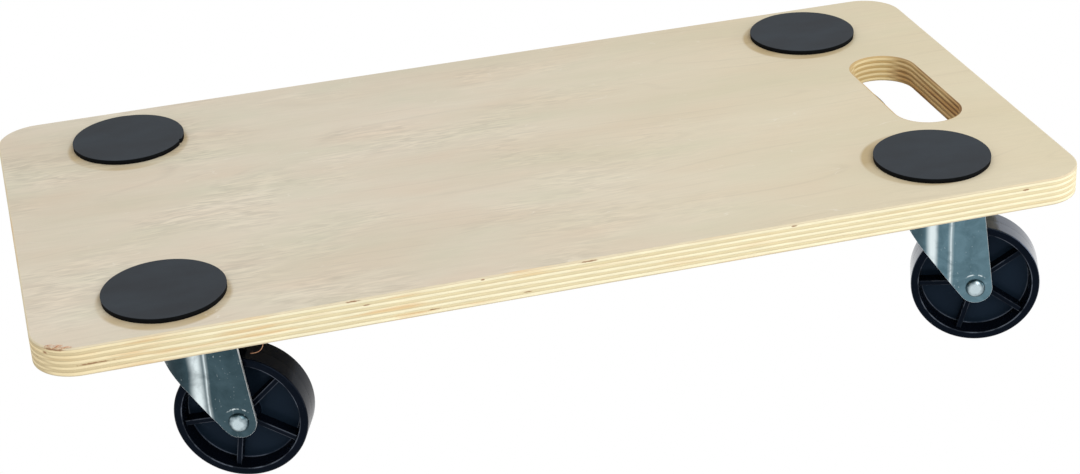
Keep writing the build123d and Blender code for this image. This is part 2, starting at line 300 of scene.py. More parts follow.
# level counts the core plies upwards, and beat swings from 0 to 1 and back, once for each pair.
height = add("Math", (
    edge["ply_wave"], ply_waver, add("Math", (across["Z"], ply_waver / 2), operation="SUBTRACT"),
), operation="MULTIPLY_ADD")
level = add("Math", (
    height, 1 / core_ply, -(deck_low.z + face_ply) / core_ply,
), operation="MULTIPLY_ADD")
beat = add("Math", (add("Math", (level, 0.5), operation="ADD"), 1.0), operation="PINGPONG")
# A ply that is long-grained on the deck's sides is a cross ply on its ends.
long_grain = add("MapRange", (beat, 0.4, 0.6))
facing = add("SeparateXYZ", (coordinates["Normal"],)).outputs["X"]
end_face = add("MapRange", (add("Math", (facing,), operation="ABSOLUTE"), 0.6, 0.8))
swap = add("Math", (long_grain, -2.0, 1.0), operation="MULTIPLY_ADD")
long_grain = add("Math", (end_face, swap, long_grain), operation="MULTIPLY_ADD")
# The edge's colours are darker and yellower towards the left end.
left_end_share = add("MapRange", (across["X"], -0.21, -0.295))
cream = add("Mix", (left_end_share, srgb("F6EDCB"), srgb("F2DFB2")), data_type="RGBA")
tan_grain = add("Mix", (left_end_share, srgb("E2D4AB"), srgb("D2BF95")), data_type="RGBA")
honey = add("Mix", (long_grain, srgb("BE9A58"), srgb("E9D29A")), data_type="RGBA")
wall_brown = add("Mix", (long_grain, srgb("76502A"), srgb("BC9056")), data_type="RGBA")
from_core = add("Math", (
    add("Math", (level, core_plies / 2), operation="SUBTRACT"),
), operation="ABSOLUTE")
face_veneer = add("MapRange", (from_core, core_plies / 2 - 0.05, core_plies / 2 + 0.08))
# The slot's walls are honey-coloured, and its right-hand wall is brown.
from_slot = add("VectorMath", (place, slot_centre), operation="SUBTRACT")
off_slot = add("SeparateXYZ", (add("VectorMath", (from_slot,), operation="ABSOLUTE"),)).outputs
in_slot = add("Math", (
    add("MapRange", (off_slot["X"], slot_width / 2 + 6 * mm, slot_width / 2 + 3 * mm, 0.0, 0.75)),
    add("MapRange", (off_slot["Y"], slot_length / 2 + 9 * mm, slot_length / 2 + 3 * mm)),
), operation="MULTIPLY")
off_middle = add("Math", (across["Y"],), operation="ABSOLUTE")
right_wall_shares = [add("MapRange", bounds) for bounds in (
    (across["X"], slot_centre.x + 9 * mm, slot_centre.x + 18 * mm),
    (across["X"], slot_centre.x + 30 * mm, slot_centre.x + 22 * mm),
    (off_middle, 80 * mm, 55 * mm),
    (edge["ply_wave"], 0.2, 0.55),
)]
right_wall_brown = right_wall_shares[0]
for share in right_wall_shares[1:]:
    right_wall_brown = add("Math", (right_wall_brown, share), operation="MULTIPLY")
right_wall_brown = add("Math", (right_wall_brown, 0.95), operation="MULTIPLY")
off_glue = add("Math", (add("Math", (beat, 0.5), operation="SUBTRACT"),), operation="ABSOLUTE")
glue_line = add("MapRange", (off_glue, 0.03, 0.11, 0.35, 0.0))
colour = tan_grain
for share, tone in (
    (long_grain, cream), (face_veneer, srgb("DDD0B2")), (in_slot, honey), (right_wall_brown, wall_brown),
    (glue_line, srgb("A98F62")),
):
    colour = add("Mix", (share, colour, tone), data_type="RGBA")
shade = add("MapRange", (edge["pores"], 0.3, 0.7, 0.92, 1.05))
colour = add("VectorMath", (colour, shade), operation="SCALE")
# Heartwood gives the cross plies rosy and honey-brown stretches, most of them near the tail.
heartwood = add("Math", (
    add("MapRange", (edge["heartwood"], 0.53, 0.7, 0.0, 0.55)),
    add("MapRange", (across["X"], 0.16, -0.05, 0.25, 1.0)),
), operation="MULTIPLY")
colour = add("Mix", (heartwood, colour, srgb("E2B881")), data_type="RGBA")
# Core gaps: x and height of the middle, length and height of each, in millimetres.
core_gaps = (
    (-268.0, 101.5, 18.0, 1.2), (-289.0, 111.0, 12.0, 1.5), (-131.0, 111.0, 9.0, 0.9),
    (-124.0, 107.5, 6.0, 0.9), (0.0, 110.6, 14.0, 1.1), (258.6, 107.7, 5.0, 1.3),
    (118.0, 110.3, 4.0, 1.0), (-60.0, 110.6, 3.0, 1.0), (-297.5, 104.0, 5.0, 1.6),
    (-293.0, 108.4, 3.0, 2.2), (-35.0, 98.5, 6.0, 0.8), (-88.0, 98.0, 7.0, 0.9),
)
core_gap_depth = 20 * mm
ragged = add("TexNoise", {"Vector": place, "Scale": 420.0, "Detail": 2.0})
for gap_x, gap_z, gap_length, gap_height in core_gaps:
    reach = add("Mapping", {
        "Vector": place, "Location": (gap_x * mm, deck_low.y, gap_z * mm),
        "Scale": (gap_length / 2 * mm, core_gap_depth, gap_height / 2 * mm),
    }, vector_type="TEXTURE")
    distance = add("VectorMath", (reach,), operation="LENGTH")
    uneven = add("Math", (ragged, 1.6, distance), operation="MULTIPLY_ADD")
    inside = add("MapRange", (uneven, 1.3, 1.8, 0.8, 0.0))
    colour = add("Mix", (inside, colour, srgb("8E5E3A")), data_type="RGBA")
raised = add("Bump", {"Height": edge["pores"], "Strength": 0.4, "Distance": 0.15 * mm})
shader = add("BsdfPrincipled", {
    "Base Color": colour, "Roughness": 0.72, "IOR": 1.5, "Specular IOR Level": 0.3, "Normal": raised,
})
add("OutputMaterial", (shader,))

deck_mesh = bmesh.new()
deck_outline = rounded_outline(Vector((0, 0)), deck_half_length, deck_half_width, deck_corner_radius)
slot_outline = rounded_outline(slot_centre.xy, slot_width / 2, slot_length / 2, slot_end_radius)
deck_rims = add_wall(deck_mesh, deck_outline, wall_profile(deck_rim_ease), 1)
slot_rims = add_wall(deck_mesh, slot_outline, wall_profile(slot_rim_ease), -1)
for deck_rim, slot_rim in zip(deck_rims, slot_rims):
    bmesh.ops.triangle_fill(deck_mesh, use_beauty=True, edges=deck_rim + slot_rim)
deck = finished_piece("plywood_deck", deck_mesh, veneer_finish, edge_finish)
fit_to_frame(deck, deck_body, "plywood", "board")

# ------------------------------------------------------------------ splinters
# Sawing tears a few hair-thin fibres loose at the rims of the veneers. They are bent threads of
# wood rooted in the rim, scattered by a small geometry node tree wherever it tore.


def speckled_finish(name, specks_a_metre, detail, dark, pale, roughness, look, relief=None):
    """A finish that one pattern of specks tints, and where roughness is a pair, dulls as well."""
    finish, add = new_finish(name)
    place = add("TexCoord").outputs["Object"]
    specks = add("TexNoise", {"Vector": place, "Scale": specks_a_metre, "Detail": detail})
    inputs = {"Base Color": add("Mix", (specks, srgb(dark), srgb(pale)), data_type="RGBA")}
    if isinstance(roughness, tuple):
        roughness = add("MapRange", (specks, 0.0, 1.0, *roughness))
    if relief:
        strength, depth = relief
        inputs["Normal"] = add("Bump", {"Height": specks, "Strength": strength, "Distance": depth})
    shader = add("BsdfPrincipled", {**inputs, "Roughness": roughness, **look})
    add("OutputMaterial", (shader,))
    return finish


def new_growth(name, inputs):
    """A geometry node tree with these inputs, add_node for it, and the sockets that give them."""
    tree = bpy.data.node_groups.new(name, "GeometryNodeTree")
    for label, kind in inputs.items():
        tree.interface.new_socket(label, in_out="INPUT", socket_type=f"NodeSocket{kind}")
    tree.interface.new_socket("Geometry", in_out="OUTPUT", socket_type="NodeSocketGeometry")
    add = partial(add_node, tree)
    return tree, add, add("GroupInput").outputs


def end_growth(add, geometry, finish):
    """End a geometry node tree: realize its instances, give them their finish and hand them out."""
    real = add("RealizeInstances", {"Geometry": geometry})
    painted = add("SetMaterial", {"Geometry": real, "Material": finish})
    add("GroupOutput", {"Geometry": painted})


def kept_result(piece):
    """Turn a piece's modifiers into its mesh."""
    bpy.context.view_layer.update()
    evaluated = piece.evaluated_get(bpy.context.evaluated_depsgraph_get())
    result = bpy.data.meshes.new_from_object(evaluated)
    result.name = piece.name
    piece.modifiers.clear()
    piece.data = result
    return piece


def grown_by_nodes(name, tree, values, start=None):
    """Run a geometry node tree with these named values and keep its result as a plain mesh."""
    piece = bpy.data.objects.new(name, start or bpy.data.meshes.new(name))
    bpy.context.scene.collection.objects.link(piece)
    modifier = piece.modifiers.new(tree.name, "NODES")
    modifier.node_group = tree
    for socket in tree.interface.items_tree:
        if socket.name in values:
            modifier[socket.identifier] = values[socket.name]
    grown = kept_result(piece)
    finish = next(material for material in grown.data.materials if material)
    grown.data.materials.clear()   # a mesh primitive brings an empty slot
    grown.data.materials.append(finish)
    return grown


# A torn fibre is raw wood: matt, and stained reddish by the core or bleached pale.
fibre_finish = speckled_finish("torn_birch_fibre", 900.0, 1.0, "B9673A", "EBC7A0", 0.8, {"IOR": 1.5})

torn_fibres, add, given = new_growth("torn_fibres", {
    "Count": "Int", "Seed": "Int", "Spread": "Vector", "Middle": "Vector", "Length": "Float",
    "Radius": "Float", "Turn": "Vector",
})
# One thread, a unit long, thins towards its tip.
thread = add("CurveQuadraticBezier", {
    "Resolution": 8, "Start": (0, 0, 0), "Middle": (0.45, 0.12, 0.5), "End": (1.0, 0.25, 0.05),
})
along_thread = add("SplineParameter").outputs["Factor"]
thread = add("SetCurveRadius", {
    "Curve": thread, "Radius": add("MapRange", (along_thread, 0.0, 1.0, 1.0, 0.15)),
})
section = add("CurvePrimitiveCircle", {
    "Resolution": 5,
    "Radius": add("Math", (given["Radius"], given["Length"]), operation="DIVIDE"),
})
strand = add("CurveToMesh", {"Curve": thread, "Profile Curve": section, "Fill Caps": True})
scatter = add("RandomValue", {
    "Min": (-0.5, -0.5, -0.5), "Max": (0.5, 0.5, 0.5), "Seed": given["Seed"],
}, data_type="FLOAT_VECTOR")
roots = add("Points", {
    "Count": given["Count"],
    "Position": add("VectorMath", (
        scatter, given["Spread"], given["Middle"],
    ), operation="MULTIPLY_ADD"),
})
lean = add("RandomValue", {
    "Min": (-0.35, -0.3, -0.5), "Max": (0.35, 0.3, 0.5), "Seed": given["Seed"],
}, data_type="FLOAT_VECTOR")
lengths = add("RandomValue", {"Min": 0.45, "Max": 1.0, "Seed": given["Seed"]}, data_type="FLOAT")
strands = add("InstanceOnPoints", {
    "Points": roots, "Instance": strand,
    "Rotation": add("VectorMath", (lean, given["Turn"]), operation="ADD"),
    "Scale": add("Math", (lengths, given["Length"]), operation="MULTIPLY"),
})
end_growth(add, strands, fibre_finish)

# Middle, spread, number, length, thickness, turn and seed of each torn place, in millimetres.
torn_places = (
    ("rim_fibres_1", (-292.0, -142.5, 111.5), (2.0, 1.5, 0.6), 7, 5.0, 0.11, (0.2, -0.1, -0.9), 4),
    ("rim_fibres_2", (-288.2, -145.6, 111.5), (2.0, 1.5, 0.6), 8, 5.5, 0.11, (0.2, -0.1, -0.6), 5),
    ("rim_fibres_3", (-284.2, -147.8, 111.5), (2.0, 1.2, 0.6), 7, 5.0, 0.11, (0.2, -0.1, -0.3), 6),
    ("loose_splinter", (-181.3, -150.0, 95.2), (0.2, 0.1, 0.1), 1, 9.0, 0.15, (0.0, 2.7, 0.35), 3),
)
for name, middle, spread, count, length, radius, turn, seed in torn_places:
    torn = grown_by_nodes(name, torn_fibres, {
        "Count": count, "Seed": seed, "Spread": Vector(spread) * mm, "Middle": Vector(middle) * mm,
        "Length": length * mm, "Radius": radius * mm, "Turn": Vector(turn),
    })
    fit_to_frame(torn, deck_body, "plywood")

# ------------------------------------------------------------------ rubber pads
# Four discs die-cut from 3 mm black rubber sheet and glued on, which grip the load. The knife
# leaves a soft edge, the sheet has a faint cloth impression, and one disc has a nick in its rim.
pad_edge = 0.25 * mm
pad_foot_ease = 0.15 * mm
pad_flat_inset = 3 * mm   # keeps the flat faces' shading away from the rim
pad_waver = 0.18 * mm
pad_waver_lobes = 2.2
pad_waver_apart = 7.0     # so that no two discs waver alike
lathe_steps = 96
nick_of = {"rear_left": radians(-27)}
nick_half_angle = radians(2.6)
nick_depth = 1.3 * mm
cut_face_slope = 0.3     # a face that looks up or down less than this was cut by the knife


def softened(corner_points, arc_steps=4):
    """A profile through corners (across, along, radius) in order, each rounded to its radius."""
    profile = []
    for i, (across, along, radius) in enumerate(corner_points):
        here = Vector((across, along))
        if radius == 0:
            profile.append(here)
            continue
        back = (Vector(corner_points[i - 1][:2]) - here).normalized()
        ahead = (Vector(corner_points[(i + 1) % len(corner_points)][:2]) - here).normalized()
        half_angle = back.angle(ahead) / 2
        centre = here + (back + ahead).normalized() * radius / sin(half_angle)
        start = here + back * radius * cos(half_angle) / sin(half_angle) - centre
        end = here + ahead * radius * cos(half_angle) / sin(half_angle) - centre
        turn = atan2(start.x * end.y - start.y * end.x, start.dot(end))
        for step in range(arc_steps + 1):
            profile.append(centre + Matrix.Rotation(turn * step / arc_steps, 2) @ start)
    return profile


def add_lathe(mesh, profile, closed=False, steps=lathe_steps, waver=None):
    """Turn a profile of (radius, height) about the Z axis; an end on the axis becomes a pole."""
    rings = []
    for across, along in profile:
        if across < 0.0001 * mm:
            rings.append([mesh.verts.new((0, 0, along))])
            continue
        ring = []
        for step in range(steps):
            angle = 2 * pi * step / steps
            radius = across + (waver(angle, across) if waver else 0.0)
            ring.append(mesh.verts.new((radius * cos(angle), radius * sin(angle), along)))
        rings.append(ring)
    pairs = list(zip(rings, rings[1:])) + ([(rings[-1], rings[0])] if closed else [])
    for lower, upper in pairs:
        for step in range(steps):
            around = [lower[(step - 1) % len(lower)], lower[step % len(lower)],
                      upper[step % len(upper)], upper[(step - 1) % len(upper)]]
            mesh.faces.new(list(dict.fromkeys(around))).smooth = True


def even_shading(piece):
    """Let the large faces decide the shading, so that rounded rims don't tint the flats."""
    piece.modifiers.new("weighted", "WEIGHTED_NORMAL").keep_sharp = True
    return kept_result(piece)


# The sheet is pressed between cloths: charcoal, faintly woven, with a greyish bloom in clouds.
rubber_finish, add = new_finish("black_rubber_sheet")
place = add("TexCoord").outputs["Object"]
cloth = add("TexNoise", {"Vector": place, "Scale": 1400.0, "Detail": 2.0})
bloom = add("TexNoise", {
    "Vector": add("Mapping", {"Vector": place, "Scale": (30, 55, 30)}), "Scale": 1.0, "Detail": 4.0,
})
bloomed = add("MapRange", (bloom, 0.3, 0.7))
shader = add("BsdfPrincipled", {
    "Base Color": add("Mix", (bloomed, srgb("2B2F34"), srgb("343A40")), data_type="RGBA"),
    "Roughness": add("MapRange", (bloom, 0.0, 1.0, 0.62, 0.78)),
    "IOR": 1.52, "Specular IOR Level": 0.16,
    "Normal": add("Bump", {"Height": cloth, "Strength": 0.35, "Distance": 0.1 * mm}),
})
add("OutputMaterial", (shader,))

# The die leaves a rougher edge, deep black: partly the cut rubber's own colour, partly painted shade on the pad's
# side.
cut_rubber_finish = speckled_finish(
    "black_rubber_die_cut", 700.0, 3.0, "07080A", "17191C", 0.85,
    {"IOR": 1.52, "Specular IOR Level": 0.05}, relief=(0.5, 0.15 * mm),
)

for index, corner in enumerate(corners):
    low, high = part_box(f"{corner}_pad")
    middle = (low + high) / 2
    radius = (high.x - low.x) / 2 - pad_waver
    nick = nick_of.get(corner)

    def cut_edge(angle, across):
        """How far the knife wandered off the circle, and the nick."""
        if across < radius - 2 * nick_depth:
            return 0.0
        around = Vector((cos(angle) * pad_waver_lobes, sin(angle) * pad_waver_lobes, pad_waver_apart * index))
        wander = noise.noise(around) * pad_waver
        if nick is not None:
            off = abs((angle - nick + pi) % (2 * pi) - pi)
            wander -= nick_depth * max(0.0, 1 - off / nick_half_angle)
        return wander

    pad_mesh = bmesh.new()
    add_lathe(pad_mesh, softened((
        (0, low.z, 0), (radius - pad_flat_inset, low.z, 0), (radius - pad_foot_ease, low.z, 0),
        (radius, high.z, pad_edge), (radius - pad_flat_inset, high.z, 0), (0, high.z, 0),
    )), steps=2 * lathe_steps, waver=cut_edge)
    bmesh.ops.translate(pad_mesh, verts=pad_mesh.verts, vec=(middle.x, middle.y, 0))
    for face in pad_mesh.faces:
        face.normal_update()
        face.material_index = 1 if abs(face.normal.z) < cut_face_slope else 0
    pad = finished_piece(f"{corner}_rubber_pad", pad_mesh, rubber_finish, cut_rubber_finish)
    pad = even_shading(pad)
    fit_to_frame(pad, deck_body, "rubber", f"{corner}_pad")

# ------------------------------------------------------------------ castor forks
# Each fork is pressed from 2.3 mm steel sheet in one piece: a flat crown, a round nose and two
# legs that turn in at a bend line. It is zinc plated and dull on its flats, with a highlight painted at the bends.
fork_sheet = 2.3 * mm
sheared_round = 0.8 * mm
sheared_ahead = 0.9     # a face that looks ahead more than this, or down more than the next, is
sheared_down = 0.3      # where the sheet was sheared
bend_reach = 15 * mm    # from the axle forward to the bend line of the leg
bend_waver = 1.2 * mm
rivet_mark_radius = 8.6 * mm
# A highlight is painted across the draw of the nose, placed for each castor: how far ahead of the axle, and how
# wide to each side.
nose_highlight_place = {"front_left": (20.5, 4.6), "front_right": (25.5, 3.4), "rear_left": (24.0, 3.5),
             "rear_right": (23.0, 4.0)}
# A piece without the draw map reads 0 there, so the map is kept this much lower than the draw.
draw_offset = 10.0

# Bright zinc on pressed steel: a bluish grey metal, clouded by the bath, with a few bright
# scratches. Highlights are painted along the bend and across the draw, and shade on the tail pair and the noses.
zinc_finish, add = new_finish("zinc_plated_steel_pressed")
place = add("TexCoord").outputs["Object"]
panel = add("UVMap", uv_map="panel")
on_panel = add("SeparateXYZ", (panel,)).outputs
draw_map = add("SeparateXYZ", (add("UVMap", uv_map="draw"),)).outputs["X"]
draw_run = add("Math", (draw_map, draw_offset), operation="ADD")
cloud = add("TexNoise", {
    "Vector": place, "Scale": 80.0, "Detail": 5.0, "Roughness": 0.6, "Distortion": 0.6,
})
waver = add("TexNoise", {"Vector": place, "Scale": 55.0, "Detail": 0.0})
spangle = add("TexNoise", {"Vector": place, "Scale": 620.0, "Detail": 3.0})
clouded = add("MapRange", (cloud, 0.3, 0.7))
colour = add("Mix", (clouded, srgb("4E6973"), srgb("6C8A96")), data_type="RGBA")
# Painted shade: the pair at the tail is painted darker, and each nose darker ahead of its highlight.
along_deck = add("SeparateXYZ", (place,)).outputs["X"]
tail_pair_shade = add("MapRange", (along_deck, -0.05, 0.05, 0.42, 1.0))
nose_shade = add("MapRange", (draw_run, -0.6, -1.8, 1.0, 0.6))
shade = add("Math", (tail_pair_shade, nose_shade), operation="MULTIPLY")
colour = add("VectorMath", (colour, shade), operation="SCALE")
# A highlight is painted along the bend line: a thin bright line in a soft glow.
past_bend = add("Math", (on_panel["X"], bend_reach - bend_waver / 2), operation="ADD")
off_bend = add("Math", (
    add("Math", (waver, bend_waver, past_bend), operation="MULTIPLY_ADD"),
), operation="ABSOLUTE")
bend_highlight = add("Math", (
    add("MapRange", (off_bend, 0.1 * mm, 0.6 * mm, 0.5, 0.0)),
    add("MapRange", (off_bend, 0.2 * mm, 2.2 * mm, 0.35, 0.0), interpolation_type="SMOOTHSTEP"),
), operation="ADD")
bend_highlight = add("Math", (
    bend_highlight, add("MapRange", (cloud, 0.36, 0.5, 0.35, 1.0)),
), operation="MULTIPLY")
# The highlight painted across the draw fades in slowly from the nose and out again towards the leg.
wavering_draw = add("Math", (
    add("Math", (waver, 0.6, draw_run), operation="MULTIPLY_ADD"), 0.3,
), operation="SUBTRACT")
draw_highlight = add("MapRange", (wavering_draw, -1.25, -0.1, 0.0, 1.0), interpolation_type="SMOOTHSTEP")
for share in (
    add("MapRange", (draw_run, 0.2, 1.15, 0.95, 0.0), interpolation_type="SMOOTHSTEP"),
    add("MapRange", (cloud, 0.34, 0.54, 0.55, 1.0)),
):
    draw_highlight = add("Math", (draw_highlight, share), operation="MULTIPLY")
# The tool that spread the rivet left an arc of scratches round it.
from_axle = add("VectorMath", (panel,), operation="LENGTH")
off_mark = add("Math", (
    add("Math", (from_axle, rivet_mark_radius), operation="SUBTRACT"),
), operation="ABSOLUTE")
rivet_mark = add("MapRange", (off_mark, 0.1 * mm, 0.55 * mm, 0.9, 0.0))
for share in (
    add("MapRange", (on_panel["Y"], 6.0 * mm, 8.0 * mm)),
    add("MapRange", (spangle, 0.46, 0.56)),
):
    rivet_mark = add("Math", (rivet_mark, share), operation="MULTIPLY")
scratch_run = add("TexNoise", {
    "Vector": add("Mapping", {
        "Vector": place, "Rotation": (0.3, 0.5, 0.2), "Scale": (210, 210, 55),
    }),
    "Scale": 1.0, "Detail": 1.0,
})
off_scratch = add("Math", (
    add("Math", (scratch_run, 0.5), operation="SUBTRACT"),
), operation="ABSOLUTE")
scratch = add("Math", (
    add("MapRange", (off_scratch, 0.003, 0.012, 0.6, 0.0)),
    add("MapRange", (spangle, 0.6, 0.68)),
), operation="MULTIPLY")
# Painted highlights at the bend and across the draw, and the real rivet marks and scratches, all lighten the zinc
# towards one near-white.
bright = bend_highlight
for mark in (draw_highlight, rivet_mark, scratch):
    bright = add("Math", (bright, mark), operation="MAXIMUM")
shader = add("BsdfPrincipled", {
    "Base Color": add("Mix", (bright, colour, srgb("E9F5F7")), data_type="RGBA"),
    "Metallic": 1.0, "Roughness": add("MapRange", (cloud, 0.0, 1.0, 0.26, 0.44)),
    "Normal": add("Bump", {"Height": spangle, "Strength": 0.2, "Distance": 0.05 * mm}),
})
add("OutputMaterial", (shader,))

# The sheared edge of the sheet keeps less zinc, and its near-white colour also paints a highlight along the cut
# edge.
sheared_finish = speckled_finish(
    "sheared_steel_edge", 500.0, 3.0, "DDE4E6", "FFFFFF", (0.45, 0.65), {"Metallic": 1.0}
)

joints = {joint["name"]: joint for joint in frame["joints"]}
kingpin_place = {}
axle_place = {}
for corner in corners:
    kingpin = Vector(joints[f"{corner}_castor_turn"]["pos_m"])
    axle = Vector(joints[f"{corner}_wheel_spin"]["pos_m"])
    trail = Vector((axle.x - kingpin.x, axle.y - kingpin.y, 0)).normalized()
    outward = trail.cross(Vector((0, 0, 1)))
    kingpin_place[corner] = Matrix.Translation((kingpin.x, kingpin.y, 0))
    axle_place[corner] = Matrix.Translation(axle) @ Matrix((trail, (0, 0, 1), outward)).transposed().to_4x4()


def merged_copy(node, flat_angle=radians(0.6)):
    """A bmesh of a CAD node with its triangles merged back into whole faces."""
    mesh = bmesh.new()
    mesh.from_mesh(frame["nodes"][node].data)
    bmesh.ops.remove_doubles(mesh, verts=mesh.verts, dist=0.001 * mm)
    bmesh.ops.dissolve_limit(mesh, angle_limit=flat_angle, verts=mesh.verts, edges=mesh.edges)
    for face in mesh.faces:
        face.smooth = True
    return mesh


def rounded_edges(piece, width, finish_slot=-1, sharp_angle=radians(35)):
    """Round every sharp edge of a piece by this width, in the finish of one of its slots."""
    bevel = piece.modifiers.new("bevel", "BEVEL")
    bevel.width = width
    bevel.segments = 3
    bevel.limit_method = "ANGLE"
    bevel.angle_limit = sharp_angle
    bevel.miter_outer = "MITER_ARC"
    bevel.material = finish_slot
    return even_shading(piece)


for corner in corners:
    fork_mesh = merged_copy(f"{corner}_fork")
    to_axle = axle_place[corner].inverted()
    panel_layer = fork_mesh.loops.layers.uv.new("panel")
    draw_layer = fork_mesh.loops.layers.uv.new("draw")
    draw_middle, draw_width = nose_highlight_place[corner]
    crown_high = max(vertex.co.z for vertex in fork_mesh.verts)
    for face in fork_mesh.faces:
        facing = to_axle.to_3x3() @ face.normal
        in_crown = face.calc_center_median().z > crown_high - 2 * fork_sheet
        if not in_crown and (facing.x > sheared_ahead or -facing.y > sheared_down):
            face.material_index = 1
        for loop in face.loops:
            ahead, up, out = to_axle @ loop.vert.co
            loop[panel_layer].uv = (ahead, up)
            loop[draw_layer].uv = ((ahead / mm + draw_middle) / draw_width - draw_offset, up)
    fork = finished_piece(f"{corner}_pressed_fork", fork_mesh, zinc_finish, sheared_finish)
    fork = rounded_edges(fork, sheared_round, 1)
    fit_to_frame(fork, f"{corner}_swivel", "zinc_steel", f"{corner}_fork")

# ------------------------------------------------------------------ mounting plates
# Each castor hangs from a 60 mm square of the same zinc-plated sheet, dished for the kingpin's
# head and grooved for the upper balls, with a hole for a screw in each corner.
plate_round = 0.35 * mm
for corner in corners:
    plate_mesh = merged_copy(f"{corner}_top_plate")
    plate = finished_piece(f"{corner}_mounting_plate", plate_mesh, zinc_finish)
    plate = rounded_edges(plate, plate_round)
    fit_to_frame(plate, deck_body, "zinc_steel", f"{corner}_top_plate")
    for node in (f"{corner}_lower_race", f"{corner}_axle_sleeve"):
        frame["nodes"][node].data.materials.clear()
        frame["nodes"][node].data.materials.append(zinc_finish)

# ------------------------------------------------------------------ kingpins
# The kingpin is a steel rivet that ties plate, fork and races together: a thin head in the
# plate's dish, a shank through both races, and a foot spread cold against the lower race.
pin_radius = 4 * mm
pin_head_radius = 5.8 * mm
pin_head_height = 1.2 * mm
pin_foot_radius = 6.5 * mm
pin_foot_height = 2 * mm
pin_foot_round = 1.2 * mm
pin_dimple_radius = 2.4 * mm
pin_dimple_rim = 3.0 * mm
pin_dimple_depth = 0.25 * mm
pin_round = 0.4 * mm
pin_ease = 0.2 * mm
pin_steps = 48
for corner in corners:
    low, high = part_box(f"{corner}_kingpin")
    foot_high = low.z + pin_foot_height
    head_low = high.z - pin_head_height
    pin_mesh = bmesh.new()
    add_lathe(pin_mesh, softened((
        (0, low.z + pin_dimple_depth, 0), (pin_dimple_radius, low.z + pin_dimple_depth, pin_round),
        (pin_dimple_rim, low.z, pin_round), (pin_foot_radius, low.z, pin_foot_round),
        (pin_foot_radius, foot_high, pin_ease), (pin_radius, foot_high, 0), (pin_radius, head_low, 0),
        (pin_head_radius, head_low, pin_ease), (pin_head_radius, high.z, pin_round), (0, high.z, 0),
    )), steps=pin_steps)
    bmesh.ops.transform(pin_mesh, matrix=kingpin_place[corner], verts=pin_mesh.verts)
    pin = even_shading(finished_piece(f"{corner}_kingpin_rivet", pin_mesh, zinc_finish))
    fit_to_frame(pin, deck_body, "zinc_steel", f"{corner}_kingpin")

# ------------------------------------------------------------------ fixing screws
# Each plate is held by four zinc-plated wood screws with wafer heads and a cross recess. A
# geometry node tree sets one at each hole, turned as far as it happened to be driven.
screw_radius = 2 * mm
screw_face_radius = 2.6 * mm
screw_face_round = 1.6 * mm
screw_head_radius = 4.3 * mm
screw_head_height = 1.4 * mm
screw_rim_height = 0.75 * mm
screw_rim_round = 0.5 * mm
screw_seat_round = 0.15 * mm
screw_tip = 3 * mm
screw_steps = 32
screw_pitch = 46 * mm
recess_half_length = 2.2 * mm
recess_half_width = 0.45 * mm
recess_depth = 0.8 * mm
recess_taper = 0.8
low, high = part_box("front_left_screws")
seat = low.z + screw_head_height
screw_mesh = bmesh.new()
add_lathe(screw_mesh, softened((
    (0, low.z, 0), (screw_face_radius, low.z, screw_face_round),
    (screw_head_radius, low.z + screw_rim_height, screw_rim_round),
    (screw_head_radius, seat, screw_seat_round), (screw_radius, seat, 0),
    (screw_radius, high.z - screw_tip, 0), (0, high.z, 0),
)), steps=screw_steps)
screw = finished_piece("wafer_head_screw", screw_mesh, zinc_finish)
recess_mesh = bmesh.new()
arm, half = recess_half_length, recess_half_width
cross = ((arm, -half), (arm, half), (half, half), (half, arm), (-half, arm), (-half, half),
         (-arm, half), (-arm, -half), (-half, -half), (-half, -arm), (half, -arm), (half, -half))
mouth = [recess_mesh.verts.new((x, y, low.z - recess_depth)) for x, y in cross]
floor = [
    recess_mesh.verts.new((x * recess_taper, y * recess_taper, low.z + recess_depth)) for x, y in cross
]
recess_mesh.faces.new(mouth)
recess_mesh.faces.new(floor)
for i in range(len(cross)):
    recess_mesh.faces.new((mouth[i - 1], mouth[i], floor[i], floor[i - 1]))
recess = finished_piece("cross_recess", recess_mesh, zinc_finish)
cut = screw.modifiers.new("cut", "BOOLEAN")
cut.operation = "DIFFERENCE"
cut.object = recess
screw = kept_result(screw)
bpy.data.objects.remove(recess)

screw_pattern, add, given = new_growth("screw_pattern", {
    "Screw": "Object", "Pitch": "Float", "Middle": "Vector", "Seed": "Int",
})
holes = add("MeshGrid", {
    "Size X": given["Pitch"], "Size Y": given["Pitch"], "Vertices X": 2, "Vertices Y": 2,
})
turn = add("RandomValue", {"Min": 0.0, "Max": pi / 2, "Seed": given["Seed"]}, data_type="FLOAT")
driven = add("InstanceOnPoints", {
    "Points": add("Transform", {"Geometry": holes, "Translation": given["Middle"]}),
    "Instance": add("ObjectInfo", {"Object": given["Screw"]}).outputs["Geometry"],
    "Rotation": add("CombineXYZ", {"Z": turn}),
})
end_growth(add, driven, zinc_finish)
for index, corner in enumerate(corners):
    screws = grown_by_nodes(f"{corner}_fixing_screws", screw_pattern, {
        "Screw": screw, "Pitch": screw_pitch, "Middle": kingpin_place[corner].translation, "Seed": index,
    })
    screws = even_shading(screws)
    fit_to_frame(screws, deck_body, "screw_steel", f"{corner}_screws")
bpy.data.objects.remove(screw)

# ------------------------------------------------------------------ bearing balls
# Two rings of loose 1/8 inch balls carry the fork's crown, one above it and one below. They are
# hardened, polished steel under a film of grease, which mutes their shine in smears.
ball_radius = 3.175 * mm / 2
ball_ring_radius = 10 * mm
ball_count = 17
ball_finish = speckled_finish(
    "polished_bearing_steel", 350.0, 3.0, "8F8B80", "D5D8DA", (0.1, 0.35), {"Metallic": 1.0}
)

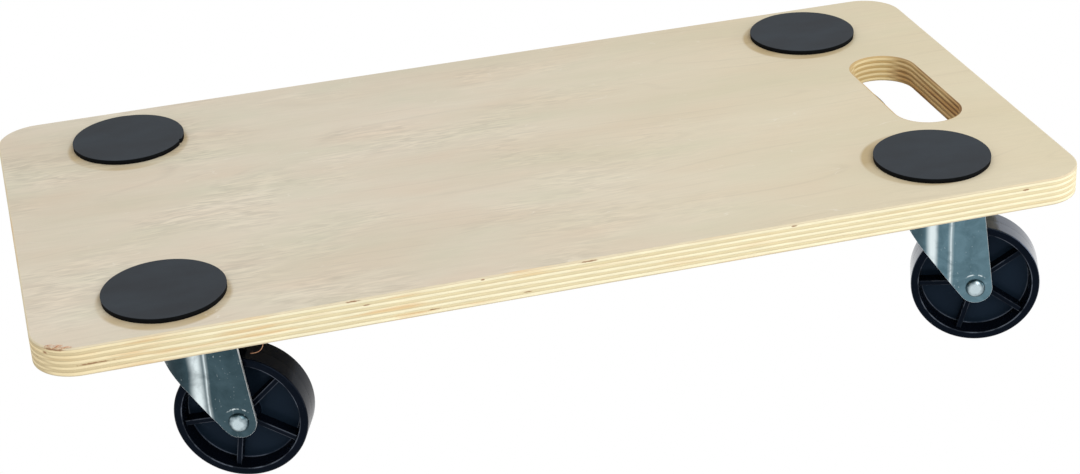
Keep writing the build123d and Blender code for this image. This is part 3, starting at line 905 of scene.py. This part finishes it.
ball_rings, add, given = new_growth("ball_rings", {
    "Count": "Int", "Ring Radius": "Float", "Ball Radius": "Float", "Lower Ring": "Vector",
    "Upper Ring": "Vector",
})
ring = add("MeshCircle", {"Vertices": given["Count"], "Radius": given["Ring Radius"]})
both = add("JoinGeometry")
for level in ("Upper Ring", "Lower Ring"):
    moved = add("Transform", {"Geometry": ring, "Translation": given[level]})
    ball_rings.links.new(moved.outputs["Geometry"], both.inputs["Geometry"])
ball = add("MeshIcoSphere", {"Radius": given["Ball Radius"], "Subdivisions": 2})
ball = add("SetShadeSmooth", {"Geometry": ball})
balls = add("InstanceOnPoints", {"Points": both, "Instance": ball})
end_growth(add, balls, ball_finish)
for corner in corners:
    ring_middles = []
    for level in ("lower", "upper"):
        low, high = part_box(f"{corner}_{level}_balls")
        ring_middles.append(kingpin_place[corner] @ Vector((0, 0, (low.z + high.z) / 2)))
    balls = grown_by_nodes(f"{corner}_bearing_balls", ball_rings, {
        "Count": ball_count, "Ring Radius": ball_ring_radius, "Ball Radius": ball_radius,
        "Lower Ring": ring_middles[0], "Upper Ring": ring_middles[1],
    })
    fit_to_frame(balls, f"{corner}_ball_rings", "ball_steel", f"{corner}_lower_balls",
                 f"{corner}_upper_balls")

# ------------------------------------------------------------------ axle rivets
# The axle is a 6 mm steel rivet through both legs, its ends pressed into low domes and zinc
# plated; a highlight painted on each dome keeps it bright against the duller legs.
axle_radius = 3 * mm
dome_radius = 5.7 * mm
dome_height = 3 * mm
dome_fullness = 0.9   # under 1 swells the dome's shoulder
dome_steps = 8
rivet_steps = 40
fork_half_width = 16.3 * mm


def add_turned_map(mesh):
    """Store each point's distance from the turning axis, and its distance along it, as a UV map."""
    layer = mesh.loops.layers.uv.new("turned")
    for face in mesh.faces:
        for loop in face.loops:
            loop[layer].uv = (hypot(loop.vert.co.x, loop.vert.co.y), abs(loop.vert.co.z))


# Zinc over a cold-pressed head: a highlight is painted on its crown and shade at the foot of
# the dome, with a mottled edge between them; the same mottle varies the roughness.
rivet_finish, add = new_finish("zinc_plated_rivet_bright")
place = add("TexCoord").outputs["Object"]
rivet_mottle = add("TexNoise", {"Vector": place, "Scale": 260.0, "Detail": 4.0})
from_axis = add("SeparateXYZ", (add("UVMap", uv_map="turned"),)).outputs["X"]
highlight_reach = add("Math", (rivet_mottle, 5.0 * mm, from_axis), operation="MULTIPLY_ADD")
crown_highlight = add("MapRange", (highlight_reach, dome_radius + 2.1 * mm, dome_radius - 0.4 * mm))
shader = add("BsdfPrincipled", {
    "Base Color": add("Mix", (crown_highlight, srgb("3F545C"), srgb("C3D3D8")), data_type="RGBA"),
    "Metallic": 1.0, "Roughness": add("MapRange", (rivet_mottle, 0.0, 1.0, 0.18, 0.4)),
    "Normal": add("Bump", {"Height": rivet_mottle, "Strength": 0.3, "Distance": 0.1 * mm}),
})
add("OutputMaterial", (shader,))

rivet_mesh = bmesh.new()
dome = []
for step in range(dome_steps + 1):
    angle = pi / 2 * step / dome_steps
    dome.append((dome_radius * sin(angle) ** dome_fullness, fork_half_width + dome_height * cos(angle)))
shank = [(axle_radius, fork_half_width), (axle_radius, -fork_half_width)]
far_dome = [(across, -along) for across, along in reversed(dome)]
add_lathe(rivet_mesh, dome + shank + far_dome, steps=rivet_steps)
add_turned_map(rivet_mesh)
for corner in corners:
    placed = rivet_mesh.copy()
    bmesh.ops.transform(placed, matrix=axle_place[corner], verts=placed.verts)
    rivet = even_shading(finished_piece(f"{corner}_axle_rivet", placed, rivet_finish))
    fit_to_frame(rivet, f"{corner}_swivel", "zinc_steel", f"{corner}_axle")
rivet_mesh.free()

# ------------------------------------------------------------------ wheels
# Each wheel is one moulding in black polypropylene: hub, thin web, rim and five ribs a side,
# which are a geometry node tree. A fine seam from the mould runs round the middle of the tread.
wheel_radius = 37.5 * mm
wheel_face = 11.3 * mm   # half the width of the rim
wheel_round = 1.2 * mm
web_face = 1.5 * mm
web_outside = 31.5 * mm
web_fillet = 1.0 * mm
rim_inside = 32.9 * mm
rim_round = 0.45 * mm
hub_radius = 9.5 * mm
hub_face = 13.5 * mm
hub_round = 0.5 * mm
hub_fillet = 0.8 * mm
bore_radius = 4.08 * mm
bore_round = 0.3 * mm
seam = 0.12 * mm
tread_depth = 0.4 * mm   # how far in from the wheel's radius counts as tread
rib_count = 5
rib_width = 3.0 * mm
rib_face = 9.0 * mm
rib_overlap = 0.8 * mm   # how far a rib runs into the hub and into the rim
rib_round = 0.35 * mm
wheel_turn = {"front_left": 26.5, "front_right": -38.5, "rear_left": 30.0, "rear_right": 5.0}

# Polypropylene moulded glossy: almost black, with a blue cast where it mirrors the light.
plastic_finish, add = new_finish("black_polypropylene_moulded")
place = add("TexCoord").outputs["Object"]
flow = add("TexNoise", {"Vector": place, "Scale": 60.0, "Detail": 4.0, "Distortion": 0.8})
texture = add("TexNoise", {"Vector": place, "Scale": 1500.0, "Detail": 2.0})
colour = add("Mix", (flow, srgb("03050A"), srgb("080D16")), data_type="RGBA")
turned = add("UVMap", uv_map="turned")
section = add("SeparateXYZ", (turned,)).outputs
# The web is painted paler than the rim: a painted reflection of the bright surroundings that its faces look
# toward.
web = add("MapRange", (section["Y"], web_face + 0.6 * mm, web_face + 0.1 * mm))
for share in (
    add("MapRange", (section["X"], hub_radius - 0.5 * mm, hub_radius)),
    add("Math", (section["X"], web_outside + 0.5 * mm), operation="LESS_THAN"),
):
    web = add("Math", (web, share), operation="MULTIPLY")
colour = add("Mix", (web, colour, srgb("17222E")), data_type="RGBA")
# Thin grey highlights are painted along the moulding's corners, in patches: the rim's inner
# and outer corners, the fillet round the web and the ribs' long edges. A rib keeps where each point lies in its
# own section, which finds the rib's long edges.
in_section = add("VectorMath", (
    add("Attribute", attribute_name="rib_section").outputs["Vector"],
), operation="ABSOLUTE")
edge_highlights = []
for where, edge_at, nearest, widest, strength in (
    (turned, (rim_inside, wheel_face, 0), 0.3 * mm, 0.6 * mm, 0.42),
    (turned, (wheel_radius, wheel_face, 0), 0.3 * mm, 0.6 * mm, 0.12),
    (turned, (web_outside, web_face, 0), 0.3 * mm, 0.6 * mm, 0.36),
    (in_section, (rib_width / 2, rib_face, 0), 0.25 * mm, 0.6 * mm, 0.25),
):
    away = add("VectorMath", (where, edge_at), operation="DISTANCE")
    edge_highlights.append(add("MapRange", (away, nearest, widest, strength, 0.0)))
edge_highlight = edge_highlights[0]
for scuff_and_highlight in edge_highlights[1:]:
    edge_highlight = add("Math", (edge_highlight, scuff_and_highlight), operation="MAXIMUM")
patchy = add("MapRange", (flow, 0.4, 0.56, 0.15, 1.0))
edge_highlight = add("Math", (edge_highlight, patchy), operation="MULTIPLY")
shader = add("BsdfPrincipled", {
    "Base Color": add("Mix", (edge_highlight, colour, srgb("8A93A2")), data_type="RGBA"),
    "IOR": 1.49, "Specular IOR Level": 0.1, "Specular Tint": srgb("9CBCEB"),
    "Roughness": add("MapRange", (flow, 0.0, 1.0, 0.16, 0.3)),
    "Normal": add("Bump", {"Height": texture, "Strength": 0.12, "Distance": 0.04 * mm}),
})
add("OutputMaterial", (shader,))

# The treads at the head of the deck get a shinier, paler copy of the plastic, a painted reflection; those at the
# tail keep the dull one.
shiny_tread_finish = speckled_finish(
    "black_polypropylene_rolled_shiny", 90.0, 3.0, "0C141F", "151F2D", (0.1, 0.22),
    {"IOR": 1.49, "Specular IOR Level": 0.8, "Specular Tint": srgb("A9CBFF"),
     "Coat Weight": 0.35, "Coat Roughness": 0.12, "Coat IOR": 1.6},
)

wheel_ribs, add, given = new_growth("wheel_ribs", {
    "Body": "Geometry", "Count": "Int", "Start": "Vector", "End": "Vector", "Width": "Float",
    "Height": "Float", "Edge Radius": "Float",
})
outline = add("CurvePrimitiveQuadrilateral", {"Width": given["Width"], "Height": given["Height"]})
outline = add("FilletCurve", {
    "Curve": outline, "Count": 3, "Radius": given["Edge Radius"],
}, mode="POLY")
outline = add("StoreNamedAttribute", {
    "Geometry": outline, "Name": "rib_section", "Value": add("InputPosition"),
}, data_type="FLOAT_VECTOR", domain="POINT")
reach = add("CurvePrimitiveLine", {"Start": given["Start"], "End": given["End"]})
rib = add("CurveToMesh", {"Curve": reach, "Profile Curve": outline, "Fill Caps": True})
whole_turns = add("Math", (add("InputIndex"), 2 * pi), operation="MULTIPLY")
angle = add("Math", (whole_turns, given["Count"]), operation="DIVIDE")
spokes = add("InstanceOnPoints", {
    "Points": add("Points", {"Count": given["Count"]}),
    "Instance": add("SetShadeSmooth", {"Geometry": rib}),
    "Rotation": add("CombineXYZ", {"Z": angle}),
})
whole = add("JoinGeometry", {"Geometry": spokes})
wheel_ribs.links.new(given["Body"], whole.inputs["Geometry"])
end_growth(add, whole, plastic_finish)

half_profile = (
    (bore_radius, hub_face, bore_round), (hub_radius, hub_face, hub_round),
    (hub_radius, web_face, hub_fillet), (web_outside, web_face, web_fillet),
    (rim_inside, wheel_face, rim_round), (wheel_radius, wheel_face, wheel_round),
    (wheel_radius, seam, 0), (wheel_radius - seam, 0, 0),
)
other_half = tuple((across, -along, radius) for across, along, radius in reversed(half_profile[:-1]))
wheel_mesh = bmesh.new()
add_lathe(wheel_mesh, softened(half_profile + other_half), closed=True)
add_turned_map(wheel_mesh)
wheel_body = finished_piece("wheel_body", wheel_mesh, plastic_finish)
template = grown_by_nodes("wheel_template", wheel_ribs, {
    "Count": rib_count, "Start": Vector((hub_radius - rib_overlap, 0, 0)),
    "End": Vector((web_outside + rib_overlap, 0, 0)),
    "Width": rib_width, "Height": 2 * rib_face, "Edge Radius": rib_round,
}, start=wheel_body.data)
bpy.data.objects.remove(wheel_body)
for corner in corners:
    wheel = bpy.data.objects.new(f"{corner}_moulded_wheel", template.data.copy())
    bpy.context.scene.collection.objects.link(wheel)
    if corner.endswith("right"):
        wheel.data.materials.append(shiny_tread_finish)
        for face in wheel.data.polygons:
            if face.center.xy.length > wheel_radius - tread_depth:
                face.material_index = len(wheel.data.materials) - 1
    wheel.data.transform(axle_place[corner] @ Matrix.Rotation(-radians(wheel_turn[corner]), 4, "Z"))
    wheel = even_shading(wheel)
    fit_to_frame(wheel, f"{corner}_wheel", "wheel_plastic", f"{corner}_wheel")
bpy.data.objects.remove(template)

# ------------------------------------------------------------------ studio
# A pale table and soft white light from all round, with one large soft lamp above and in front
# and a smaller one low on the right. Table and sky show white, but light the object more softly.
table_size = 6.0
sky_strength = 0.76


def seen_white(add):
    """1 where the camera sees a surface, itself or through metal or glass, and 0 for its light."""
    path = add("LightPath").outputs
    seen = add("Math", (path["Is Camera Ray"], path["Is Glossy Ray"]), operation="ADD")
    return add("Math", (seen, path["Is Transmission Ray"]), operation="ADD", use_clamp=True)


table = bpy.data.objects.new("table_top", bpy.data.meshes.new("table_top"))
table_mesh = bmesh.new()
bmesh.ops.create_grid(table_mesh, x_segments=2, y_segments=2, size=table_size)
table_mesh.to_mesh(table.data)
table_mesh.free()
bpy.context.scene.collection.objects.link(table)
table_finish, add = new_finish("white_table_paint")
paint = add("BsdfDiffuse", {"Color": srgb("F2F2F2")})
backdrop = add("Emission", {"Color": srgb("FFFFFF"), "Strength": 1.0})
add("OutputMaterial", (add("MixShader", (seen_white(add), paint, backdrop)),))
table.data.materials.append(table_finish)

world = bpy.data.worlds.new("studio")
world.use_nodes = True
world.node_tree.nodes.clear()
add = partial(add_node, world.node_tree)
strength = add("MapRange", (seen_white(add), 0.0, 1.0, sky_strength, 1.0))
sky = add("Background", {"Color": srgb("FFFFFF"), "Strength": strength})
add("OutputWorld", (sky,))
bpy.context.scene.world = world

# Each lamp's place, its size in metres and its power in watts.
for name, place, size, power in (("soft_box", (0.5, -1.7, 1.6), 1.4, 18.0),
                                 ("side_light", (1.5, -0.5, 0.35), 0.6, 4.0)):
    lamp = bpy.data.lights.new(name, "AREA")
    lamp.shape = "SQUARE"
    lamp.size = size
    lamp.energy = power
    lamp_object = bpy.data.objects.new(name, lamp)
    lamp_object.location = place
    lamp_object.rotation_euler = (-Vector(place)).to_track_quat("-Z", "Y").to_euler()
    bpy.context.scene.collection.objects.link(lamp_object)

camera_place = (-0.2913, -1.2037, 0.6840)
camera_turn = (62.957, 2.831, -15.513)   # degrees about X, Y and Z
camera_lens = 75.764
camera = bpy.data.objects.new("camera", bpy.data.cameras.new("camera"))
camera.data.lens = camera_lens
camera.location = camera_place
camera.rotation_euler = [radians(angle) for angle in camera_turn]
bpy.context.scene.collection.objects.link(camera)
bpy.context.scene.camera = camera
bpy.context.scene.view_settings.view_transform = "Standard"
